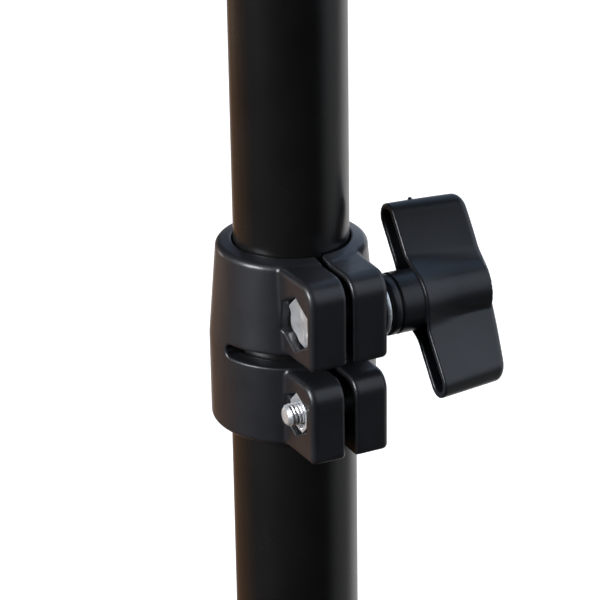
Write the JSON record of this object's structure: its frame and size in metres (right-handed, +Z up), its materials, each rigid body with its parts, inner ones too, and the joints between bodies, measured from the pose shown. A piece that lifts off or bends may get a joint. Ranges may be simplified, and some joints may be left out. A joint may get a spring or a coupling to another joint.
{
  "type": "music stand",
  "caption": "Folding tripod music stand with a telescopic mast, a split clamp collar with a wing knob, and a tilting perforated desk.",
  "frame": {"origin": "centre of the foot hub's flat underside, on the floor, on the mast's axis", "axes": "+Z up along the mast, -Y towards the player, whom the desk faces, +X towards the wing knob"},
  "size_m": [0.5928, 0.5171, 1.2344],
  "materials": {
    "black_paint": "satin black powder paint",
    "black_plastic": "semi-matte black moulded nylon",
    "knob_plastic": "semi-gloss black moulded plastic",
    "zinc_plate": "bright zinc plated steel",
    "rubber": "matte black rubber"
  },
  "bodies": {
    "mast": {"outer_tube": "black_paint", "foot_hub": "black_plastic", "clamp_collar": "black_plastic", "clamp_bolt": "zinc_plate", "knob_washer": "zinc_plate", "collar_screw": "zinc_plate", "collar_nut": "zinc_plate", "hub_rivet_back": "zinc_plate", "hub_rivet_left": "zinc_plate", "hub_rivet_right": "zinc_plate"},
    "wing_knob": {"wing_knob": "knob_plastic", "knob_insert": "zinc_plate"},
    "leg_collar": {"leg_collar": "black_plastic", "leg_rivet_back": "zinc_plate", "leg_rivet_left": "zinc_plate", "leg_rivet_right": "zinc_plate"},
    "leg_lock_knob": {"leg_lock_knob": "knob_plastic", "leg_lock_screw": "zinc_plate"},
    "upper_mast": {"inner_tube": "black_paint", "inner_tube_plug": "black_plastic"},
    "head": {"head_socket": "black_plastic", "tilt_bolt": "zinc_plate", "tilt_washer": "zinc_plate"},
    "head_lock_knob": {"head_lock_knob": "knob_plastic", "head_lock_screw": "zinc_plate"},
    "tilt_knob": {"tilt_knob": "knob_plastic"},
    "desk": {"desk_panel": "black_paint", "desk_ledge": "black_paint", "desk_bracket": "black_paint", "desk_screw_1": "zinc_plate", "desk_screw_2": "zinc_plate", "desk_screw_3": "zinc_plate", "desk_screw_4": "zinc_plate"},
    "leg_back": {"leg_tube_back": "black_paint", "leg_plug_back": "black_plastic", "leg_foot_back": "rubber"},
    "brace_back": {"brace_back": "black_paint", "brace_rivet_back_near": "zinc_plate", "brace_rivet_back_far": "zinc_plate"},
    "leg_left": {"leg_tube_left": "black_paint", "leg_plug_left": "black_plastic", "leg_foot_left": "rubber"},
    "brace_left": {"brace_left": "black_paint", "brace_rivet_left_near": "zinc_plate", "brace_rivet_left_far": "zinc_plate"},
    "leg_right": {"leg_tube_right": "black_paint", "leg_plug_right": "black_plastic", "leg_foot_right": "rubber"},
    "brace_right": {"brace_right": "black_paint", "brace_rivet_right_near": "zinc_plate", "brace_rivet_right_far": "zinc_plate"}
  },
  "joints": [
    {"name": "height_slide", "type": "slide", "parent": "mast", "child": "upper_mast", "axis": [0, 0, 1], "range_m": [-0.29, 0.2]},
    {"name": "wing_knob_turn", "type": "hinge", "parent": "mast", "child": "wing_knob", "pos_m": [0, -0.02015, 0.6306], "axis": [1, 0, 0], "continuous": true},
    {"name": "leg_fold", "type": "slide", "parent": "mast", "child": "leg_collar", "axis": [0, 0, 1], "range_m": [0, 0.1357]},
    {"name": "leg_lock_turn", "type": "hinge", "parent": "leg_collar", "child": "leg_lock_knob", "pos_m": [0, -0.03, 0.20654], "axis": [0, -1, 0], "continuous": true},
    {"name": "head_swivel", "type": "hinge", "parent": "upper_mast", "child": "head", "pos_m": [0, 0, 0.97], "axis": [0, 0, 1], "continuous": true},
    {"name": "head_lock_turn", "type": "hinge", "parent": "head", "child": "head_lock_knob", "pos_m": [0.03, 0, 0.964], "axis": [1, 0, 0], "continuous": true},
    {"name": "tilt_knob_turn", "type": "hinge", "parent": "head", "child": "tilt_knob", "pos_m": [0.02, 0, 1.018], "axis": [1, 0, 0], "continuous": true},
    {"name": "desk_tilt", "type": "hinge", "parent": "head", "child": "desk", "pos_m": [0, 0, 1.018], "axis": [1, 0, 0], "range_deg": [-62, 20]},
    {"name": "leg_hinge_back", "type": "hinge", "parent": "leg_collar", "child": "leg_back", "pos_m": [0, 0.029, 0.21854], "axis": [-1, 0, 0], "range_deg": [0, 51.1]},
    {"name": "brace_hinge_back", "type": "hinge", "parent": "mast", "child": "brace_back", "pos_m": [0, 0.029, 0.035], "axis": [1, 0, 0], "range_deg": [0, 51.1]},
    {"name": "leg_hinge_left", "type": "hinge", "parent": "leg_collar", "child": "leg_left", "pos_m": [-0.02511, -0.0145, 0.21854], "axis": [0.5, -0.866, 0], "range_deg": [0, 51.1]},
    {"name": "brace_hinge_left", "type": "hinge", "parent": "mast", "child": "brace_left", "pos_m": [-0.02511, -0.0145, 0.035], "axis": [-0.5, 0.866, 0], "range_deg": [0, 51.1]},
    {"name": "leg_hinge_right", "type": "hinge", "parent": "leg_collar", "child": "leg_right", "pos_m": [0.02511, -0.0145, 0.21854], "axis": [0.5, 0.866, 0], "range_deg": [0, 51.1]},
    {"name": "brace_hinge_right", "type": "hinge", "parent": "mast", "child": "brace_right", "pos_m": [0.02511, -0.0145, 0.035], "axis": [-0.5, -0.866, 0], "range_deg": [0, 51.1]}
  ],
  "couplings": [
    {"joint": "leg_hinge_back", "follows": "leg_fold", "rad_per_m": 6.5569},
    {"joint": "brace_hinge_back", "follows": "leg_fold", "rad_per_m": 6.5569},
    {"joint": "leg_hinge_left", "follows": "leg_fold", "rad_per_m": 6.5569},
    {"joint": "brace_hinge_left", "follows": "leg_fold", "rad_per_m": 6.5569},
    {"joint": "leg_hinge_right", "follows": "leg_fold", "rad_per_m": 6.5569},
    {"joint": "brace_hinge_right", "follows": "leg_fold", "rad_per_m": 6.5569}
  ]
}
